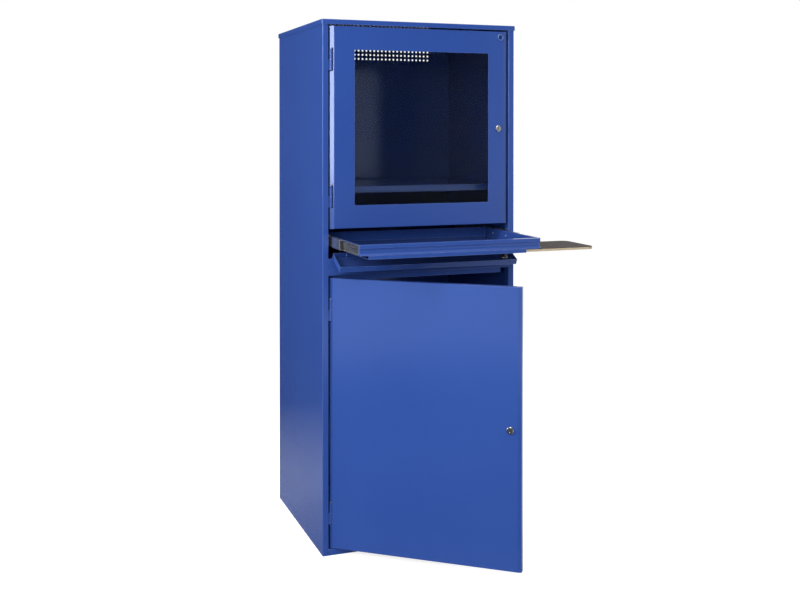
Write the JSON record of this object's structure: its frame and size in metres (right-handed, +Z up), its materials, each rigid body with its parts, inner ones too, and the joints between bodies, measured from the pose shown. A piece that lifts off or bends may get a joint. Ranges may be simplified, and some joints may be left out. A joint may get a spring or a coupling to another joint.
{
  "type": "computer cabinet",
  "caption": "Steel floor cabinet for a computer: glazed upper door, drop flap over a keyboard drawer with a pull-out mouse board, and a plain lower door, all with cam locks.",
  "frame": {"origin": "centre of the carcass on the floor", "axes": "+Z up, the front faces -Y, +X to the right of someone facing the front"},
  "size_m": [0.808, 0.9194, 1.65],
  "materials": {
    "blue_paint": "semi-gloss powder coat",
    "zinc_steel": "zinc plated",
    "lock_chrome": "polished chrome",
    "yellow_zinc": "yellow passivated",
    "clear_pane": "clear",
    "black_plastic": "matt black",
    "blue_plastic": "satin",
    "board_core": "plain edge band",
    "board_laminate": "fine texture"
  },
  "bodies": {
    "carcass": {"left_side_panel": "blue_paint", "right_side_panel": "blue_paint", "back_panel": "blue_paint", "top_cover": "blue_paint", "base_pan": "blue_paint", "middle_rail": "blue_paint", "upper_partition": "blue_paint", "lower_partition": "blue_paint", "monitor_shelf": "blue_paint", "shelf_bracket_left": "blue_paint", "shelf_bracket_right": "blue_paint", "slide_bracket_left": "zinc_steel", "slide_bracket_right": "zinc_steel", "slide_fixed_left": "zinc_steel", "slide_fixed_right": "zinc_steel", "upper_door_top_hinge_frame_knuckle": "blue_paint", "upper_door_bottom_hinge_frame_knuckle": "blue_paint", "lower_door_top_hinge_frame_knuckle": "blue_paint", "lower_door_bottom_hinge_frame_knuckle": "blue_paint", "upper_door_hinge_pins": "zinc_steel", "lower_door_hinge_pins": "zinc_steel", "flap_hinge_rail_leaf": "zinc_steel", "flap_hinge_pin": "zinc_steel"},
    "upper_door": {"upper_door_panel": "blue_paint", "window_pane": "clear_pane", "window_retainer": "black_plastic", "blanking_plug": "blue_plastic", "upper_door_top_hinge_door_knuckle": "blue_paint", "upper_door_bottom_hinge_door_knuckle": "blue_paint", "upper_door_lock_housing": "lock_chrome", "upper_door_lock_nut": "zinc_steel"},
    "upper_lock": {"upper_door_lock_plug": "lock_chrome", "upper_door_lock_cam": "yellow_zinc"},
    "lower_door": {"lower_door_panel": "blue_paint", "lower_door_stiffener": "blue_paint", "lower_door_top_hinge_door_knuckle": "blue_paint", "lower_door_bottom_hinge_door_knuckle": "blue_paint", "lower_door_lock_housing": "lock_chrome", "lower_door_lock_nut": "zinc_steel"},
    "lower_lock": {"lower_door_lock_plug": "lock_chrome", "lower_door_lock_cam": "yellow_zinc"},
    "flap": {"flap_panel": "blue_paint", "flap_hinge_flap_leaf": "zinc_steel", "flap_lock_housing": "lock_chrome", "flap_lock_nut": "zinc_steel"},
    "flap_lock": {"flap_lock_plug": "lock_chrome", "flap_lock_cam": "yellow_zinc"},
    "drawer": {"drawer_tray": "blue_paint", "drawer_front": "blue_paint", "mouse_board_sleeve": "blue_paint", "slide_inner_left": "zinc_steel", "slide_inner_right": "zinc_steel"},
    "slide_runners": {"slide_runner_left": "zinc_steel", "slide_runner_right": "zinc_steel", "slide_stop_left": "black_plastic", "slide_stop_right": "black_plastic"},
    "mouse_board": {"mouse_board_core": "board_core", "mouse_board_laminate": "board_laminate"}
  },
  "joints": [
    {"name": "upper_door_hinge", "type": "hinge", "parent": "carcass", "child": "upper_door", "pos_m": [-0.297, -0.269, 1.318], "axis": [0, 0, -1], "range_deg": [0, 105]},
    {"name": "upper_lock_turn", "type": "hinge", "parent": "upper_door", "child": "upper_lock", "pos_m": [0.267, -0.275, 1.315], "axis": [0, -1, 0], "range_deg": [0, 90]},
    {"name": "lower_door_hinge", "type": "hinge", "parent": "carcass", "child": "lower_door", "pos_m": [-0.297, -0.269, 0.439], "axis": [0, 0, -1], "range_deg": [-38.5, 66.5]},
    {"name": "lower_lock_turn", "type": "hinge", "parent": "lower_door", "child": "lower_lock", "pos_m": [0.14066, -0.62479, 0.437], "axis": [-0.6225, -0.7826, 0], "range_deg": [0, 90]},
    {"name": "flap_hinge", "type": "hinge", "parent": "carcass", "child": "flap", "pos_m": [0, -0.275, 0.917], "axis": [-1, 0, 0], "range_deg": [0, 22]},
    {"name": "flap_lock_turn", "type": "hinge", "parent": "flap", "child": "flap_lock", "pos_m": [0.27, -0.3151, 0.8983], "axis": [0, -0.4226, 0.9063], "range_deg": [0, 90]},
    {"name": "drawer_slide", "type": "slide", "parent": "carcass", "child": "drawer", "axis": [0, -1, 0], "range_m": [-0.0595, 0.1145]},
    {"name": "runner_slide", "type": "slide", "parent": "carcass", "child": "slide_runners", "axis": [0, -1, 0], "range_m": [-0.02975, 0.05725]},
    {"name": "mouse_board_slide", "type": "slide", "parent": "drawer", "child": "mouse_board", "axis": [1, 0, 0], "range_m": [-0.224, 0]}
  ],
  "couplings": [
    {"joint": "runner_slide", "follows": "drawer_slide", "ratio": 0.5}
  ]
}
